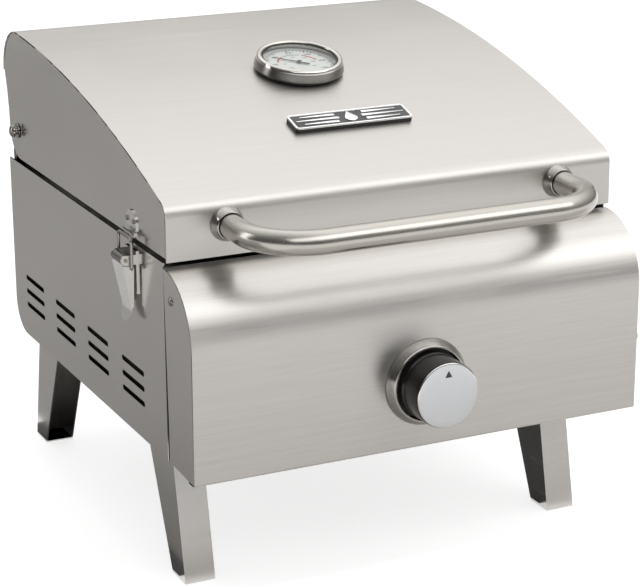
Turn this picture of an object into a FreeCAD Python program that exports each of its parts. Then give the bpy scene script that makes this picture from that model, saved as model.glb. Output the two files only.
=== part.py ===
import FreeCAD, Part
import math
import os
from FreeCAD import Placement, Rotation, Vector

# Portable tabletop gas grill: a sheet-steel body on four folding legs, a hinged lid with a tube
# handle, side latches, a curved control panel with one knob, and the burner parts inside.
# Millimetres. X to the right, Y to the back, Z up. The origin is at the middle of the
# footprint on the table. Distances along Y are counted from the front face of the lid.

SIZES = {
    # placing
    "front": -147.4,            # Y of the lid's front face
    "sheet": 1.0,               # thickness of the body panels
    "cover": 1.2,               # thickness of the lid's outer sheet
    # body
    "body_half": 190.9,         # half width over the side panels
    "body_top": 264.5,
    "body_bottom": 109.0,
    "body_front": 6.5,
    "body_rear": 371.0,
    "body_bend": 28.0,          # bend between the floor and the back
    "back_top": 318.0,          # top of the back, which stands up inside the lid
    "back_half": 186.8,         # half width of the part of the back inside the lid
    "slot_length": 48.0,
    "slot_height": 4.4,
    "slot_pitch": 79.5,
    "slot_first": 76.5,
    "slot_rise": 12.4,
    "slot_bottom": 138.3,
    "floor_hole": 17.0,         # radius of the grease hole in the floor
    # firebox
    "box_half": 165.0,
    "box_front": 24.0,
    "box_rear": 352.0,
    "box_bottom": 122.0,
    "box_top": 257.0,
    "drain": 10.0,              # radius of the firebox drain
    # lid
    "lid_half": 190.6,          # half width over the outer sheet
    "lid_side_half": 190.0,     # half width over the lid's side panels
    "lid_bottom": 266.0,
    "lid_side_bottom": 268.5,
    "crown_bend": 1100.0,       # radius of the shallow crown
    "lid_front_bend": 12.0,
    "lid_rear_bend": 38.0,
    "hinge_back": 346.5,        # hinge axis, behind the lid's front face
    "hinge_height": 293.0,
    "hinge_screw": 3.0,         # radius of the hinge screw
    # handle
    "tube": 9.5,                # radius of the handle tube
    "handle_half": 142.0,
    "handle_height": 290.0,
    "handle_reach": 74.0,
    "handle_bend": 46.0,
    # control panel
    "panel_half": 191.4,
    "panel_top": 261.5,
    "panel_bottom": 106.5,
    "panel_face": 47.3,         # how far the panel stands in front of the lid
    "panel_bend": 52.0,
    # knob and valve
    "knob_height": 159.5,
    "knob": 26.7,               # knob radius
    "knob_face": 83.3,          # how far the knob's face stands in front of the lid
    "bezel": 34.5,              # outer radius of the ring round the knob
    "stem": 4.0,                # radius of the valve stem
    # badge and thermometer
    "badge_back": 83.8,
    "badge_width": 102.0,
    "badge_depth": 22.0,
    "badge_tilt": 16.4,
    "dial_back": 178.5,
    "dial_tilt": 11.4,
    "dial_ring": 37.4,          # outer radius of the thermometer's ring
    "dial_glass": 31.3,
    "dial_stem": 4.2,
    "needle_turn": 50.0,        # where the needle rests, anticlockwise from straight back
    # latches
    "latch_back": 70.5,
    "lever_out": 200.5,         # lever pivot, from the middle plane
    "lever_pivot": 253.5,
    "lever_half": 12.0,         # half width of the lever at its shoulder
    "lever_bend": 213.5,        # where the tongue turns out
    "lever_tip": 203.2,
    "tongue_half": 9.7,
    "flange": 1.2,
    "barrel": 3.7,              # radius of the roll round the lever pin
    "ear_gap": 10.4,            # from the latch's middle to the base's ears
    "ear": 3.9,                 # radius of the ears
    "bail_out": 196.4,          # bail pivot, from the middle plane
    "bail_pivot": 246.8,
    "bail_top": 270.8,
    "bail_half": 13.65,
    "wire": 1.2,                # radius of the bail wire
    "pin": 1.5,                 # radius of the lever pin
    "bore_gap": 0.06,           # round the pins and the bail's ends
    "catch_half": 10.3,
    "catch_bottom": 270.5,
    "catch_top": 289.5,
    "hook_reach": 3.65,         # inner face of the hook's lip, from the lid's side
    # legs
    "leg_outer": 176.1,
    "leg_width": 25.2,
    "leg_sheet": 1.2,
    "foot_front": 14.8,         # outer edge of the front feet
    "foot_rear": 376.0,         # outer edge of the rear feet
    "foot_length": 26.4,
    "leg_outer_lean": 0.205,
    "leg_inner_lean": 0.455,
    "leg_pivot": 97.0,
    "leg_top": 105.5,
    "leg_pin": 3.0,
    # grate and tray
    "grate_half": 172.0,
    "grate_bottom": 257.4,
    "grate_thick": 6.0,
    "tray_half": 90.0,
    "tray_front": 95.0,
    "tray_rear": 366.0,
    "tray_bottom": 86.0,
    "tray_top": 104.0,
}

os.makedirs("parts", exist_ok=True)
doc = FreeCAD.newDocument("tabletop_grill")
sheet = doc.addObject("Spreadsheet::Sheet", "sizes")
for row, (alias, value) in enumerate(SIZES.items(), start=1):
    sheet.set(f"A{row}", alias.replace("_", " "))
    sheet.set(f"B{row}", str(value))
    sheet.setAlias(f"B{row}", alias)
doc.recompute()


class Cells:
    """Reads a driving size from the sheet by its alias."""

    def __getattr__(self, alias):
        return float(sheet.get(alias))


c = Cells()
pieces = {}


def at(distance):
    """Y of a point that lies this far behind the lid's front face."""
    return c.front + distance


# ---------------------------------------------------------------- outlines

def direction(a, b):
    length = math.hypot(b[0] - a[0], b[1] - a[1])
    return (b[0] - a[0]) / length, (b[1] - a[1]) / length


def rounded(corners, closed=True):
    """Edges of an outline through corners (u, v) or (u, v, bend radius)."""
    count = len(corners)
    joints = []
    for i, corner in enumerate(corners):
        radius = corner[2] if len(corner) > 2 else 0
        here = Vector(corner[0], corner[1], 0)
        at_end = not closed and i in (0, count - 1)
        if not radius or at_end:
            joints.append((here, None, here))
            continue
        d1 = direction(corners[i - 1], corner)
        d2 = direction(corner, corners[(i + 1) % count])
        turn = math.acos(max(-1, min(1, d1[0] * d2[0] + d1[1] * d2[1])))
        run = radius * math.tan(turn / 2)
        start = here - Vector(d1[0], d1[1], 0) * run
        end = here + Vector(d2[0], d2[1], 0) * run
        inward = Vector(d2[0] - d1[0], d2[1] - d1[1], 0).normalize()
        middle = here + inward * (radius / math.cos(turn / 2) - radius)
        joints.append((start, middle, end))
    edges = []
    for i, (start, middle, end) in enumerate(joints):
        if middle is not None:
            edges.append(Part.Arc(start, middle, end))
        if i + 1 < count or closed:
            following = joints[(i + 1) % count][0]
            if end.distanceToPoint(following) > 1e-6:
                edges.append(Part.LineSegment(end, following))
    return edges


def offset_path(path, distance):
    """The same bent path, moved to its left by a distance, with the bends kept concentric."""
    moved = []
    for i, corner in enumerate(path):
        before = direction(path[i - 1], corner) if i else None
        after = direction(corner, path[i + 1]) if i + 1 < len(path) else None
        d1 = before or after
        d2 = after or before
        n1 = (-d1[1], d1[0])
        n2 = (-d2[1], d2[0])
        spread = 1 + n1[0] * n2[0] + n1[1] * n2[1]
        u = corner[0] + distance * (n1[0] + n2[0]) / spread
        v = corner[1] + distance * (n1[1] + n2[1]) / spread
        radius = corner[2] if len(corner) > 2 else 0
        if radius:
            left_turn = d1[0] * d2[1] - d1[1] * d2[0] > 0
            radius += -distance if left_turn else distance
        moved.append((u, v, radius))
    return moved


def strip(path, thickness):
    """Corners of a bent strip of even thickness, whose outer face follows the path."""
    return path + offset_path(path, thickness)[::-1]


# ---------------------------------------------------------------- building pieces

def keep(label, shape_object):
    shape_object.Label = label
    pieces[label] = shape_object
    return shape_object


def new_body(label):
    return keep(label, doc.addObject("PartDesign::Body", label))


def sketch(body, role, edges, offset=None):
    """A sketch on one of the body's own planes, moved along the plane's normal."""
    drawing = body.newObject("Sketcher::SketchObject", body.Name + "_outline")
    plane = next(item for item in body.Origin.OriginFeatures if item.Role == role)
    drawing.AttachmentSupport = [(plane, "")]
    drawing.MapMode = "FlatFace"
    if offset is not None:
        drawing.setExpression("AttachmentOffset.Base.z", offset)
    for edge in edges:
        drawing.addGeometry(edge, False)
    return drawing


def pad(body, drawing, length, both_ways=False, backwards=False):
    feature = body.newObject("PartDesign::Pad", body.Name + "_pad")
    feature.Profile = drawing
    feature.setExpression("Length", length)
    feature.SideType = "Symmetric" if both_ways else "One side"
    feature.Reversed = backwards
    return feature


def cut(body, drawing, length=None):
    """A pocket to both sides of its sketch, through everything unless a length is given."""
    feature = body.newObject("PartDesign::Pocket", body.Name + "_pocket")
    feature.Profile = drawing
    feature.SideType = "Symmetric"
    if length is None:
        feature.Type = "ThroughAll"
    else:
        feature.setExpression("Length", length)
    return feature


def plate(label, role, corners, offset, thickness, holes=()):
    """A flat plate from a rounded outline, with round holes (u, v, radius)."""
    body = new_body(label)
    circles = [Part.Circle(Vector(u, v, 0), Vector(0, 0, 1), radius) for u, v, radius in holes]
    pad(body, sketch(body, role, rounded(corners) + circles, offset), thickness)
    return body


def bent_sheet(label, path, thickness, width):
    """A sheet bent along a side profile (y, z) and as wide as given, middle at X = 0."""
    body = new_body(label)
    pad(body, sketch(body, "YZ_Plane", rounded(strip(path, thickness))), width, both_ways=True)
    return body


def turned(label, corners, place=None):
    """A turned piece: an outline (radius, height) spun about its own axis, then placed."""
    body = new_body(label)
    drawing = sketch(body, "XZ_Plane", rounded(corners))
    spin = body.newObject("PartDesign::Revolution", label + "_spin")
    spin.Profile = drawing
    spin.ReferenceAxis = (drawing, ["V_Axis"])
    spin.Angle = 360
    if place is not None:
        body.Placement = place
    return body


def pipe(label, path, path_role, path_offset, ring, ring_role, ring_offset=None):
    """A round bar along a flat path; ring is (u, v, radius) where the path begins."""
    body = new_body(label)
    spine = sketch(body, path_role, rounded(path, closed=False), path_offset)
    circle = Part.Circle(Vector(ring[0], ring[1], 0), Vector(0, 0, 1), ring[2])
    profile = sketch(body, ring_role, [circle], ring_offset)
    sweep = body.newObject("PartDesign::AdditivePipe", label + "_sweep")
    sweep.Profile = profile
    sweep.Spine = (spine, [])
    return body


def box(name, low, high):
    block = doc.addObject("Part::Box", name)
    block.Length = high[0] - low[0]
    block.Width = high[1] - low[1]
    block.Height = high[2] - low[2]
    block.Placement.Base = Vector(*low)
    return block


def rod(name, base, axis, length, radius):
    """A cylinder from a base point along an axis; length and radius may be expressions."""
    bar = doc.addObject("Part::Cylinder", name)
    for field, amount in (("Height", length), ("Radius", radius)):
        if isinstance(amount, str):
            bar.setExpression(field, amount)
        else:
            setattr(bar, field, amount)
    bar.Placement = Placement(Vector(*base), Rotation(Vector(0, 0, 1), Vector(*axis)))
    return bar


def joined(label, parts):
    group = doc.addObject("Part::MultiFuse", label)
    group.Shapes = parts
    return keep(label, group)


def group(label, parts):
    """Identical separate solids that share one node."""
    bundle = doc.addObject("Part::Compound", label)
    bundle.Links = parts
    return keep(label, bundle)


def less(label, whole, tool):
    result = doc.addObject("Part::Cut", label)
    result.Base = whole
    result.Tool = tool
    return keep(label, result)


SIDES = (("left", -1), ("right", 1))
TO_FRONT = Rotation(Vector(1, 0, 0), 90)


# ---------------------------------------------------------------- lid

def lid_path():
    """Outer face of the lid's sheet, from the bottom of its front face to its rear lip."""
    return [
        (at(0), c.lid_bottom),
        (at(0.5), 307.5, c.lid_front_bend),
        (at(166.7), 369.3, c.crown_bend),
        (at(373.5), 382.3, c.lid_rear_bend),
        (at(378.3), 341.5),
    ]


def make_lid():
    path = lid_path()
    shell = new_body("lid_cover")
    outline = rounded(strip(path, -c.cover))
    pad(shell, sketch(shell, "YZ_Plane", outline), "2 * sizes.lid_half", both_ways=True)
    arms = [Part.Circle(Vector(x, c.handle_height, 0), Vector(0, 0, 1), c.hinge_screw)
            for x in (-c.handle_half, c.handle_half)]
    cut(shell, sketch(shell, "XZ_Plane", arms, "-(sizes.front)"), "10 mm")
    stem_hole = [Part.Circle(Vector(0, at(c.dial_back), 0), Vector(0, 0, 1), c.dial_stem + 0.4)]
    cut(shell, sketch(shell, "XY_Plane", stem_hole, "sizes.lid_bottom"), "400 mm")
    inner = offset_path(path, -c.cover)
    rear = [
        (at(372.3), 324.3),
        (at(369.5), 306.6, 20),
        (at(366.5), c.lid_side_bottom, 26),
        (inner[0][0], c.lid_side_bottom),
    ]
    hinge_hole = [(at(c.hinge_back), c.hinge_height, c.hinge_screw + 0.06)]
    for side, sign in SIDES:
        offset = f"{sign} * sizes.lid_side_half" + (" - sizes.sheet" if sign > 0 else "")
        plate(f"lid_side_{side}", "YZ_Plane", inner[1:] + rear, offset, "sizes.sheet", hinge_hole)


def make_handle():
    reach = at(-c.handle_reach)
    path = [
        (-c.handle_half, at(0)),
        (-c.handle_half, reach, c.handle_bend),
        (c.handle_half, reach, c.handle_bend),
        (c.handle_half, at(0)),
    ]
    ring = (-c.handle_half, c.handle_height, c.tube)
    pipe("handle_tube", path, "XY_Plane", "sizes.handle_height", ring, "XZ_Plane", "-(sizes.front)")
    collars = []
    screws = []
    for side, sign in SIDES:
        outer = doc.addObject("Part::Cone", f"collar_{side}")
        outer.Radius1 = 13.4
        outer.Radius2 = 11.0
        outer.Height = 8
        base = (sign * c.handle_half, at(0), c.handle_height)
        outer.Placement = Placement(Vector(*base), TO_FRONT)
        bore = rod(f"collar_bore_{side}", base, (0, -1, 0), 8, "sizes.tube")
        collar = doc.addObject("Part::Cut", f"collar_ring_{side}")
        collar.Base = outer
        collar.Tool = bore
        collars.append(collar)
        head = (base[0], at(c.cover + 0.55), base[2])
        screws.append(rod(f"handle_screw_{side}", head, (0, 1, 0), 3.5, 6.0))
    group("handle_collars", collars)
    group("handle_screws", screws)


def on_lid(distance, tilt, lift=0.0):
    """Placement of a piece that lies on the crown, its own Z square to the sheet."""
    path = rounded(lid_path(), closed=False)
    crown = max(path, key=lambda edge: edge.length())
    wire = crown.toShape()
    plane_line = Part.makeLine(Vector(at(distance), 200, 0), Vector(at(distance), 500, 0))
    touch = wire.distToShape(plane_line)[1][0][0]
    turn = Rotation(Vector(1, 0, 0), tilt)
    return Placement(Vector(0, touch.x, touch.y) + turn.multVec(Vector(0, 0, lift)), turn)


def make_badge():
    half_w = c.badge_width / 2
    half_d = c.badge_depth / 2
    corners = [(-half_w, -half_d, 3), (half_w, -half_d, 3), (half_w, half_d, 3), (-half_w, half_d, 3)]
    backing = plate("badge_backing", "XY_Plane", corners, "0 mm", "3.2 mm")
    backing.Placement = on_lid(c.badge_back, c.badge_tilt)
    face = plate("badge_face", "XY_Plane", corners, "0 mm", "1.4 mm")
    face.Placement = on_lid(c.badge_back, c.badge_tilt, 3.2)


def make_thermometer():
    place = on_lid(c.dial_back, c.dial_tilt, 0.2)
    ring = c.dial_ring
    glass = c.dial_glass
    turned("thermometer_case", [(0, 0), (ring - 3, 0), (ring - 3, 5), (0, 5)], place)
    bezel = [
        (ring - 2.9, 0.3), (ring - 0.6, 0.3), (ring, 1.0), (ring, 8.5, 2.4), (ring - 3.4, 12.6, 2.4),
        (glass, 12.0), (glass, 10.6), (ring - 2.9, 10.6),
    ]
    turned("thermometer_bezel", bezel, place)
    turned("thermometer_dial", [(0, 5), (glass + 1.2, 5), (glass + 1.2, 5.8), (0, 5.8)], place)
    turned("thermometer_glass", [(0, 9.0), (glass + 1.6, 9.0), (glass + 1.6, 10.5), (0, 10.5)], place)
    r = c.dial_stem
    turned("thermometer_stem", [(0, 0), (r, 0), (r, -16), (3.0, -18), (3.0, -62, 2), (0, -62)], place)
    nut = [(r, -2.6), (9.5, -2.6), (9.5, -8), (r, -8)]
    turned("thermometer_nut", nut, place)
    needle = doc.addObject("Part::Box", "needle_blade")
    needle.Length = 1.6
    needle.Width = 32
    needle.Height = 0.6
    needle.Placement.Base = Vector(-0.8, -9, 6.6)
    hub = rod("needle_hub", (0, 0, 6.1), (0, 0, 1), 1.9, 2.6)
    pointer = joined("thermometer_needle", [needle, hub])
    pointer.Placement = place.multiply(Placement(Vector(0, 0, 0), Rotation(Vector(0, 0, 1), c.needle_turn)))


# ---------------------------------------------------------------- body

def body_path():
    """Outer face of the sheet that makes the floor and the back."""
    return [
        (at(c.body_front + 2), c.body_bottom),
        (at(c.body_rear), c.body_bottom, c.body_bend),
        (at(c.body_rear), c.back_top),
    ]


def slot(centre, height):
    """Edges of one vent slot with round ends."""
    half = c.slot_length / 2
    r = c.slot_height / 2
    corners = [(centre - half, height - r, r), (centre + half, height - r, r),
               (centre + half, height + r, r), (centre - half, height + r, r)]
    return rounded(corners)


def make_body():
    width = "2 * (sizes.body_half - sizes.sheet) - 0.1"
    bent_sheet("body_back_and_floor", body_path(), c.sheet, width)
    back = pieces["body_back_and_floor"]
    hole = [Part.Circle(Vector(0, at(230), 0), Vector(0, 0, 1), c.floor_hole)]
    cut(back, sketch(back, "XY_Plane", hole, "sizes.body_bottom"), "10 mm")
    corners = []
    for sign in (-1, 1):
        step = [(sign * c.back_half, c.body_top - 2), (sign * 200, c.body_top - 2), (sign * 200, 330),
                (sign * c.back_half, 330)]
        corners += rounded(step)
    cut(back, sketch(back, "XZ_Plane", corners, f"-({at(c.body_rear)})"), "10 mm")

    half = c.body_half - c.sheet - 0.05
    front = [(-half, c.body_bottom), (half, c.body_bottom), (half, 260), (-half, 260)]
    holes = [(0, c.knob_height, 16)]
    plate("body_front_wall", "XZ_Plane", front, f"-(sizes.front + {c.body_front})", "sizes.sheet", holes)

    outline = [
        (at(c.body_front), c.body_bottom),
        (at(c.body_rear), c.body_bottom, c.body_bend),
        (at(c.body_rear), c.body_top),
        (at(c.body_front), c.body_top),
    ]
    for side, sign in SIDES:
        offset = f"{sign} * sizes.body_half" + (" - sizes.sheet" if sign > 0 else "")
        plate(f"side_panel_{side}", "YZ_Plane", outline, offset, "sizes.sheet")
        body = pieces[f"side_panel_{side}"]
        slots = []
        for column in range(4):
            for line in range(3):
                slots += slot(at(c.slot_first + column * c.slot_pitch), c.slot_bottom + line * c.slot_rise)
        cut(body, sketch(body, "YZ_Plane", slots, offset), "10 mm")


def make_hinges():
    low_inside = c.lid_side_half - c.sheet - 0.3
    ear = [
        (at(c.hinge_back - 16), 236, 4), (at(c.hinge_back + 16), 236, 4),
        (at(c.hinge_back + 13), c.hinge_height + 13, 12.5),
        (at(c.hinge_back - 13), c.hinge_height + 13, 12.5),
    ]
    hole = [(at(c.hinge_back), c.hinge_height, c.hinge_screw)]
    root = [
        (at(c.hinge_back - 16), 236, 4), (at(c.hinge_back + 16), 236, 4),
        (at(c.hinge_back + 15.5), 262), (at(c.hinge_back - 15.5), 262),
    ]
    screws = []
    for side, sign in SIDES:
        inner = sign * low_inside - (1.5 if sign > 0 else 0)
        label = f"hinge_bracket_{side}"
        plate(label, "YZ_Plane", ear, f"{inner} mm", "1.5 mm", hole)
        foot_from = low_inside if sign > 0 else -(c.body_half - c.sheet)
        body = pieces[label]
        foot_length = c.body_half - c.sheet - low_inside
        pad(body, sketch(body, "YZ_Plane", rounded(root), f"{foot_from} mm"), f"{foot_length} mm")

        # dome-headed screw with a nut inside
        pivot = (at(c.hinge_back), c.hinge_height)
        dome = doc.addObject("Part::Sphere", f"screw_dome_{side}")
        dome.Radius = 9.0
        dome.Placement.Base = Vector(sign * (c.lid_side_half + 0.35 - 5.5), *pivot)
        disc = rod(f"screw_disc_{side}", (sign * (c.lid_side_half + 0.35), *pivot), (sign, 0, 0), 5, 6.6)
        head = doc.addObject("Part::Common", f"screw_head_{side}")
        head.Base = dome
        head.Tool = disc
        inside = low_inside - 1.5 - 7
        shank = rod(f"screw_shank_{side}", (sign * inside, *pivot), (sign, 0, 0),
                    c.lid_side_half + 1 - inside, "sizes.hinge_screw")
        nut = rod(f"screw_nut_{side}", (sign * (inside + 2), *pivot), (sign, 0, 0), 5, 5.5)
        whole = doc.addObject("Part::MultiFuse", f"hinge_screw_{side}")
        whole.Shapes = [head, shank, nut]
        screws.append(whole)
    group("hinge_screws", screws)


def make_firebox():
    label = "firebox"
    body = new_body(label)
    half, front, rear = c.box_half, at(c.box_front), at(c.box_rear)
    low, top, wall = c.box_bottom, c.box_top, c.sheet
    outer = [(-half, front, 12), (half, front, 12), (half, rear, 12), (-half, rear, 12)]
    pad(body, sketch(body, "XY_Plane", rounded(outer), "sizes.box_bottom"),
        "sizes.box_top - sizes.box_bottom")
    flange_half = c.back_half
    flange = [(-flange_half, at(9.5)), (flange_half, at(9.5)),
              (flange_half, at(c.body_rear - 1.6)), (-flange_half, at(c.body_rear - 1.6))]
    pad(body, sketch(body, "XY_Plane", rounded(flange), "sizes.box_top - sizes.sheet"), "sizes.sheet")
    inner = [(-half + wall, front + wall, 11), (half - wall, front + wall, 11),
             (half - wall, rear - wall, 11), (-half + wall, rear - wall, 11)]
    hollow = body.newObject("PartDesign::Pocket", "firebox_hollow")
    hollow.Profile = sketch(body, "XY_Plane", rounded(inner), "sizes.box_top")
    hollow.setExpression("Length", "sizes.box_top - sizes.box_bottom - sizes.sheet")
    drain = [Part.Circle(Vector(0, at(230), 0), Vector(0, 0, 1), c.drain)]
    cut(body, sketch(body, "XY_Plane", drain, "sizes.box_bottom"), "10 mm")
    mouth = [Part.Circle(Vector(0, c.knob_height, 0), Vector(0, 0, 1), 15)]
    cut(body, sketch(body, "XZ_Plane", mouth, f"-({front})"), "10 mm")


# ---------------------------------------------------------------- control panel

def panel_path():
    """Outer face of the curved panel, from its rear top edge to its turned-in bottom edge."""
    return [
        (at(5.2), c.panel_top),
        (at(-c.panel_face), c.panel_top, c.panel_bend),
        (at(-c.panel_face + 0.6), c.panel_bottom, 2.2),
        (at(-c.panel_face + 12), c.panel_bottom),
    ]


def make_control_panel():
    width = "2 * sizes.panel_half - 0.1"
    bent_sheet("control_panel", panel_path(), c.sheet, width)
    panel = pieces["control_panel"]
    hole = [Part.Circle(Vector(0, c.knob_height, 0), Vector(0, 0, 1), 24.5)]
    cut(panel, sketch(panel, "XZ_Plane", hole, f"-({at(-c.panel_face)})"), "10 mm")
    inner = offset_path(panel_path(), c.sheet)
    wing = [
        (at(5.0), inner[0][1]),
        (inner[1][0], inner[1][1], inner[1][2]),
        (inner[2][0], inner[2][1]),
        (at(-8), inner[2][1] + 2, 2),
        (at(0.6), inner[2][1] + 3, 2),
    ]
    screws = []
    for side, sign in SIDES:
        offset = f"{sign} * sizes.panel_half" + (" - sizes.sheet" if sign > 0 else "")
        plate(f"control_panel_end_{side}", "YZ_Plane", wing, offset, "sizes.sheet")
        spot = (sign * c.panel_half, at(-8.5), 239.5)
        dome = doc.addObject("Part::Sphere", f"panel_screw_dome_{side}")
        dome.Radius = 5
        dome.Placement.Base = Vector(spot[0] - sign * 3, spot[1], spot[2])
        disc = rod(f"panel_screw_disc_{side}", spot, (sign, 0, 0), 4, 3.6)
        head = doc.addObject("Part::Common", f"panel_screw_{side}")
        head.Base = dome
        head.Tool = disc
        screws.append(head)
    group("panel_screws", screws)


def make_knob_and_valve():
    def facing(distance):
        """Placement on the knob's axis, own Z towards the front."""
        return Placement(Vector(0, at(distance), c.knob_height), TO_FRONT)

    knob_back = 57.0
    depth = c.knob_face - 0.9 - knob_back
    r = c.knob
    shell = [
        (c.stem, 0), (8, 0), (8, depth - 4), (r - 2.5, depth - 4), (r - 2.5, 0), (r, 0),
        (r, depth, 1.6), (c.stem, depth),
    ]
    turned("knob", shell, facing(-knob_back))
    turned("knob_cap", [(0, 0), (r - 1.8, 0), (r - 1.8, 0.9, 0.4), (0, 0.9)], facing(-c.knob_face + 0.9))
    ring = [
        (28.5, 0), (c.bezel, 0), (c.bezel, 1.4), (30.6, 8.2, 1.5), (28.5, 8.2),
    ]
    turned("knob_bezel", ring, facing(-c.panel_face))
    turned("valve_stem", [(0, 0), (c.stem, 0), (c.stem, 53), (0, 53)], facing(-27.4))
    rotor = [(0, 0), (6.5, 0), (6.5, 21), (4.35, 21), (4.35, 9), (0, 9)]
    turned("valve_rotor", rotor, facing(-14))
    body = [
        (0, 0), (12, 0), (12, 34), (4.5, 34), (4.5, 30), (7.0, 30), (7.0, 8), (0, 8),
    ]
    turned("valve_body", body, facing(-5))
    jet = [(0, 0), (4, 0), (4, 3), (2, 6), (0, 6)]
    orifice = turned("gas_jet", jet)
    orifice.Placement = Placement(Vector(0, at(-5), c.knob_height), Rotation(Vector(1, 0, 0), -90))


def make_gas_line():
    start = 12.0
    path = [(start, at(-22)), (c.panel_half - 1, at(-22))]
    ring = (at(-22), c.knob_height, 4.0)
    pipe("gas_pipe", path, "XY_Plane", "sizes.knob_height", ring, "YZ_Plane", f"{start} mm")
    end = Rotation(Vector(0, 1, 0), 90)
    fitting = [(0, 0), (7.5, 0), (7.5, 6), (5.5, 7), (5.5, 14), (0, 14)]
    turned("gas_inlet", fitting, Placement(Vector(c.panel_half, at(-22), c.knob_height), end))


def make_burner():
    tube = [
        (8.5, 0), (9.5, 0), (9.5, 20), (12.5, 34), (12.5, 322, 2), (0, 322), (0, 321), (11.5, 321),
        (11.5, 34), (8.5, 20),
    ]
    place = Placement(Vector(0, at(2), c.knob_height), Rotation(Vector(1, 0, 0), -90))
    turned("burner_tube", tube, place)

    # upright saddle with a foot on the firebox floor
    low = c.box_bottom + c.sheet
    saddle = [(-18, low), (18, low), (18, c.knob_height, 3), (-18, c.knob_height, 3)]
    foot = [(-18, low), (18, low), (18, low + c.cover), (-18, low + c.cover)]
    seat = [Part.Circle(Vector(0, c.knob_height, 0), Vector(0, 0, 1), 12.5)]
    where = f"-({at(300)})"
    support = new_body("burner_bracket")
    pad(support, sketch(support, "XZ_Plane", rounded(saddle), where), "sizes.cover")
    pad(support, sketch(support, "XZ_Plane", rounded(foot), where), "12 mm")
    cut(support, sketch(support, "XZ_Plane", seat, where), "40 mm")

    # tent over the burner, from the front wall of the firebox to its rear wall
    tent = [(-62, 188), (-44, 200, 3), (0, 222, 4), (44, 200, 3), (62, 188)]
    shield = new_body("heat_plate")
    middle = f"-({at((c.box_front + c.box_rear) / 2)})"
    pad(shield, sketch(shield, "XZ_Plane", rounded(strip(tent, -c.cover)), middle),
        "sizes.box_rear - sizes.box_front - 2 * sizes.sheet", both_ways=True)
    spark = [(0, 0), (3.2, 0), (3.2, 26), (1.0, 27), (1.0, 44), (0, 44)]
    turned("igniter_electrode", spark, Placement(Vector(24, at(70), c.box_bottom + c.sheet), Rotation()))


def make_grate():
    body = new_body("cooking_grate")
    half, front, rear = c.grate_half, at(17), at(359)
    frame = [(-half, front, 10), (half, front, 10), (half, rear, 10), (-half, rear, 10)]
    pad(body, sketch(body, "XY_Plane", rounded(frame), "sizes.grate_bottom"), "sizes.grate_thick")
    gaps = 22
    pitch = (2 * half - 16) / gaps
    holes = []
    for i in range(gaps):
        x = -half + 8 + (i + 0.5) * pitch
        w = pitch / 2 - 2.2
        for y1, y2 in ((front + 8, at(184)), (at(192), rear - 8)):
            holes += rounded([(x - w, y1, 3), (x + w, y1, 3), (x + w, y2, 3), (x - w, y2, 3)])
    cut(body, sketch(body, "XY_Plane", holes, "sizes.grate_bottom"), "30 mm")


def make_grease_tray():
    body = new_body("grease_tray")
    half, front, rear = c.tray_half, at(c.tray_front), at(c.tray_rear)
    outer = [(-half, front, 8), (half, front, 8), (half, rear, 8), (-half, rear, 8)]
    pad(body, sketch(body, "XY_Plane", rounded(outer), "sizes.tray_bottom"),
        "sizes.tray_top - sizes.tray_bottom")
    lip = [(-half - 8, front), (half + 8, front), (half + 8, rear), (-half - 8, rear)]
    pad(body, sketch(body, "XY_Plane", rounded(lip), "sizes.tray_top - sizes.sheet"), "sizes.sheet")
    wall = c.sheet
    inner = [(-half + wall, front + wall, 7), (half - wall, front + wall, 7),
             (half - wall, rear - wall, 7), (-half + wall, rear - wall, 7)]
    hollow = body.newObject("PartDesign::Pocket", "tray_hollow")
    hollow.Profile = sketch(body, "XY_Plane", rounded(inner), "sizes.tray_top")
    hollow.setExpression("Length", "sizes.tray_top - sizes.tray_bottom - sizes.sheet")
    rails = []
    for side, sign in SIDES:
        ledge = c.tray_top - c.sheet - 0.4
        z_bar = [(half + 2, ledge), (half + 8.4, ledge), (half + 8.4, c.body_bottom - 1.2),
                 (half + 18, c.body_bottom - 1.2)]
        outline = [(sign * u, v) for u, v in z_bar]
        outline = strip(outline, -sign * c.cover)
        points = [Vector(point[0], front + 4, point[1]) for point in outline]
        face = Part.Face(Part.makePolygon(points + points[:1]))
        rail = doc.addObject("Part::Feature", f"rail_{side}")
        rail.Shape = face.extrude(Vector(0, rear - front - 8, 0))
        rails.append(rail)
    group("tray_rails", rails)


# ---------------------------------------------------------------- latches

def lever_face(height):
    """How far out the latch lever's face lies at a height, from its roll to its bend."""
    top, bend = lever_corners()
    return top[0] + (bend[0] - top[0]) * (top[1] - height) / (top[1] - bend[1])


def lever_corners():
    return (c.lever_out + 3.4, c.lever_pivot + 0.6), (196.4, c.lever_bend)


def make_latch_base(side, sign):
    """A plate on the side panel with two ears round the lever pin."""
    middle, wall, out, up = at(c.latch_back), c.body_half, c.lever_out, c.lever_pivot
    near, far = sorted((sign * wall, sign * (wall + c.flange)))
    half = c.ear_gap + c.flange
    solids = [box(f"base_plate_{side}", (near, middle - half, 226), (far, middle + half, 260))]
    for number, y in enumerate((middle - half, middle + c.ear_gap)):
        near, far = sorted((sign * (wall + 0.2), sign * out))
        solids.append(box(f"base_arm_{side}_{number}", (near, y, up - c.ear),
                          (far, y + c.flange, up + c.ear)))
        solids.append(rod(f"base_eye_{side}_{number}", (sign * out, y, up), (0, 1, 0), c.flange, c.ear))
    whole = doc.addObject("Part::MultiFuse", f"base_whole_{side}")
    whole.Shapes = solids
    bore = rod(f"base_bore_{side}", (sign * out, middle - 20, up), (0, 1, 0), 40, "sizes.pin")
    less(f"latch_base_{side}", whole, bore)
    end = half + 0.5
    return rod(f"latch_pin_{side}", (sign * out, middle - end, up), (0, 1, 0), 2 * end, "sizes.pin")


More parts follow.
